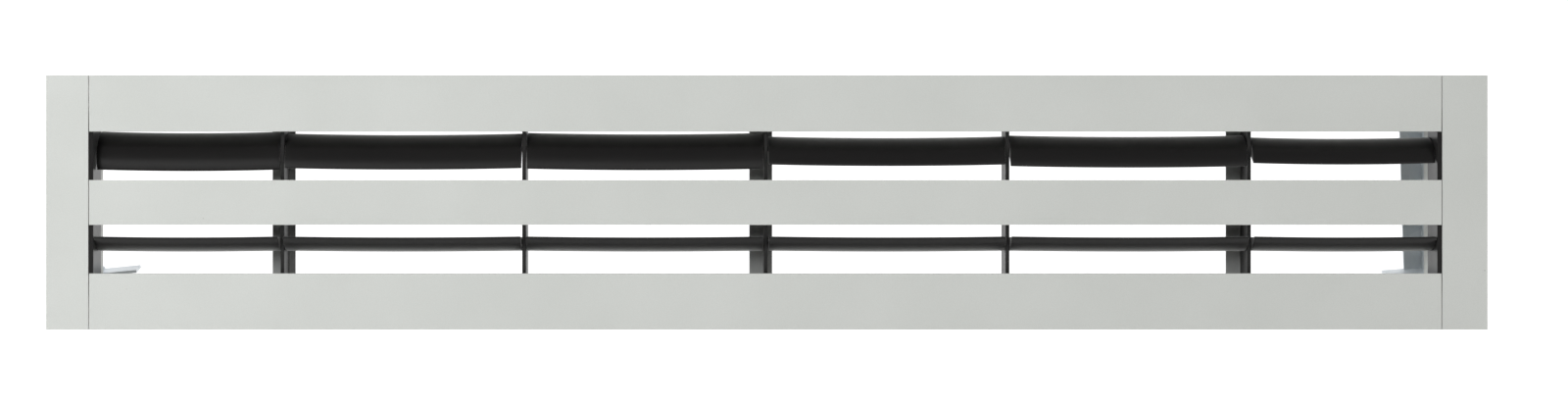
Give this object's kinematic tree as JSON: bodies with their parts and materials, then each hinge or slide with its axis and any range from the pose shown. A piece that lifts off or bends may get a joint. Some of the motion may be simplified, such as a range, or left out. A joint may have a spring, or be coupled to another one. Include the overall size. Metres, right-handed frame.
{
  "type": "linear slot diffuser",
  "caption": "Flat satin-grey linear slot air grille; black blades behind the face turn on axles to steer the air. Fits flush in a ceiling or wall.",
  "frame": {"origin": "middle of the slots' length, midway between the two slots, in the plane of the flanges' back (the plane that lies against the ceiling or wall); the face reaches 296.9 mm to the left of it and 298.1 mm to the right", "axes": "+X along the slots towards the right end seen from the front, +Y away from the room into the ceiling or wall (the face looks along -Y), +Z across the slots towards the top edge in the picture"},
  "size_m": [0.595, 0.0358, 0.105],
  "materials": {
    "coated_aluminium": "satin light-grey coating on extruded aluminium",
    "black_plastic": "satin-gloss moulded black plastic",
    "galvanised_steel": "galvanised sheet, dull with a fine spangle",
    "zinc_plated_steel": "bright zinc plating"
  },
  "bodies": {
    "frame": {"top_flange_profile": "coated_aluminium", "centre_bar_profile": "coated_aluminium", "bottom_flange_profile": "coated_aluminium", "end_cap_left": "coated_aluminium", "hanger_bracket_left": "galvanised_steel", "end_bearing_top_left": "black_plastic", "end_bearing_bottom_left": "black_plastic", "end_screw_left_1": "zinc_plated_steel", "end_screw_left_2": "zinc_plated_steel", "end_screw_left_3": "zinc_plated_steel", "bracket_rivet_left_1": "zinc_plated_steel", "bracket_rivet_left_2": "zinc_plated_steel", "end_cap_right": "coated_aluminium", "hanger_bracket_right": "galvanised_steel", "end_bearing_top_right": "black_plastic", "end_bearing_bottom_right": "black_plastic", "end_screw_right_1": "zinc_plated_steel", "end_screw_right_2": "zinc_plated_steel", "end_screw_right_3": "zinc_plated_steel", "bracket_rivet_right_1": "zinc_plated_steel", "bracket_rivet_right_2": "zinc_plated_steel", "bridge_wide_top_1": "black_plastic", "bridge_thin_top_2": "black_plastic", "bridge_wide_top_3": "black_plastic", "bridge_thin_top_4": "black_plastic", "bridge_wide_top_5": "black_plastic", "bridge_wide_bottom_1": "black_plastic", "bridge_thin_bottom_2": "black_plastic", "bridge_wide_bottom_3": "black_plastic", "bridge_thin_bottom_4": "black_plastic", "bridge_wide_bottom_5": "black_plastic"},
    "blade_top_1": {"deflector_top_1": "black_plastic"},
    "blade_top_2": {"deflector_top_2": "black_plastic"},
    "blade_top_3": {"deflector_top_3": "black_plastic"},
    "blade_top_4": {"deflector_top_4": "black_plastic"},
    "blade_top_5": {"deflector_top_5": "black_plastic"},
    "blade_top_6": {"deflector_top_6": "black_plastic"},
    "blade_bottom_1": {"deflector_bottom_1": "black_plastic"},
    "blade_bottom_2": {"deflector_bottom_2": "black_plastic"},
    "blade_bottom_3": {"deflector_bottom_3": "black_plastic"},
    "blade_bottom_4": {"deflector_bottom_4": "black_plastic"},
    "blade_bottom_5": {"deflector_bottom_5": "black_plastic"},
    "blade_bottom_6": {"deflector_bottom_6": "black_plastic"}
  },
  "joints": [
    {"name": "turn_top_1", "type": "hinge", "parent": "frame", "child": "blade_top_1", "pos_m": [-0.2392, 0.0078, 0.02235], "axis": [-1, 0, 0], "range_deg": [-32, 148]},
    {"name": "turn_top_2", "type": "hinge", "parent": "frame", "child": "blade_top_2", "pos_m": [-0.15, 0.0078, 0.02235], "axis": [-1, 0, 0], "range_deg": [-40, 140]},
    {"name": "turn_top_3", "type": "hinge", "parent": "frame", "child": "blade_top_3", "pos_m": [-0.0498, 0.0078, 0.02235], "axis": [-1, 0, 0], "range_deg": [-37, 143]},
    {"name": "turn_top_4", "type": "hinge", "parent": "frame", "child": "blade_top_4", "pos_m": [0.0505, 0.0078, 0.02235], "axis": [-1, 0, 0], "range_deg": [-55, 125]},
    {"name": "turn_top_5", "type": "hinge", "parent": "frame", "child": "blade_top_5", "pos_m": [0.1507, 0.0078, 0.02235], "axis": [-1, 0, 0], "range_deg": [-49, 131]},
    {"name": "turn_top_6", "type": "hinge", "parent": "frame", "child": "blade_top_6", "pos_m": [0.2395, 0.0078, 0.02235], "axis": [-1, 0, 0], "range_deg": [-60, 120]},
    {"name": "turn_bottom_1", "type": "hinge", "parent": "frame", "child": "blade_bottom_1", "pos_m": [-0.2392, 0.0078, -0.01615], "axis": [-1, 0, 0], "range_deg": [-92, 88]},
    {"name": "turn_bottom_2", "type": "hinge", "parent": "frame", "child": "blade_bottom_2", "pos_m": [-0.15, 0.0078, -0.01615], "axis": [-1, 0, 0], "range_deg": [-92, 88]},
    {"name": "turn_bottom_3", "type": "hinge", "parent": "frame", "child": "blade_bottom_3", "pos_m": [-0.0498, 0.0078, -0.01615], "axis": [-1, 0, 0], "range_deg": [-92, 88]},
    {"name": "turn_bottom_4", "type": "hinge", "parent": "frame", "child": "blade_bottom_4", "pos_m": [0.0505, 0.0078, -0.01615], "axis": [-1, 0, 0], "range_deg": [-92, 88]},
    {"name": "turn_bottom_5", "type": "hinge", "parent": "frame", "child": "blade_bottom_5", "pos_m": [0.1507, 0.0078, -0.01615], "axis": [-1, 0, 0], "range_deg": [-92, 88]},
    {"name": "turn_bottom_6", "type": "hinge", "parent": "frame", "child": "blade_bottom_6", "pos_m": [0.2395, 0.0078, -0.01615], "axis": [-1, 0, 0], "range_deg": [-92, 88]}
  ]
}
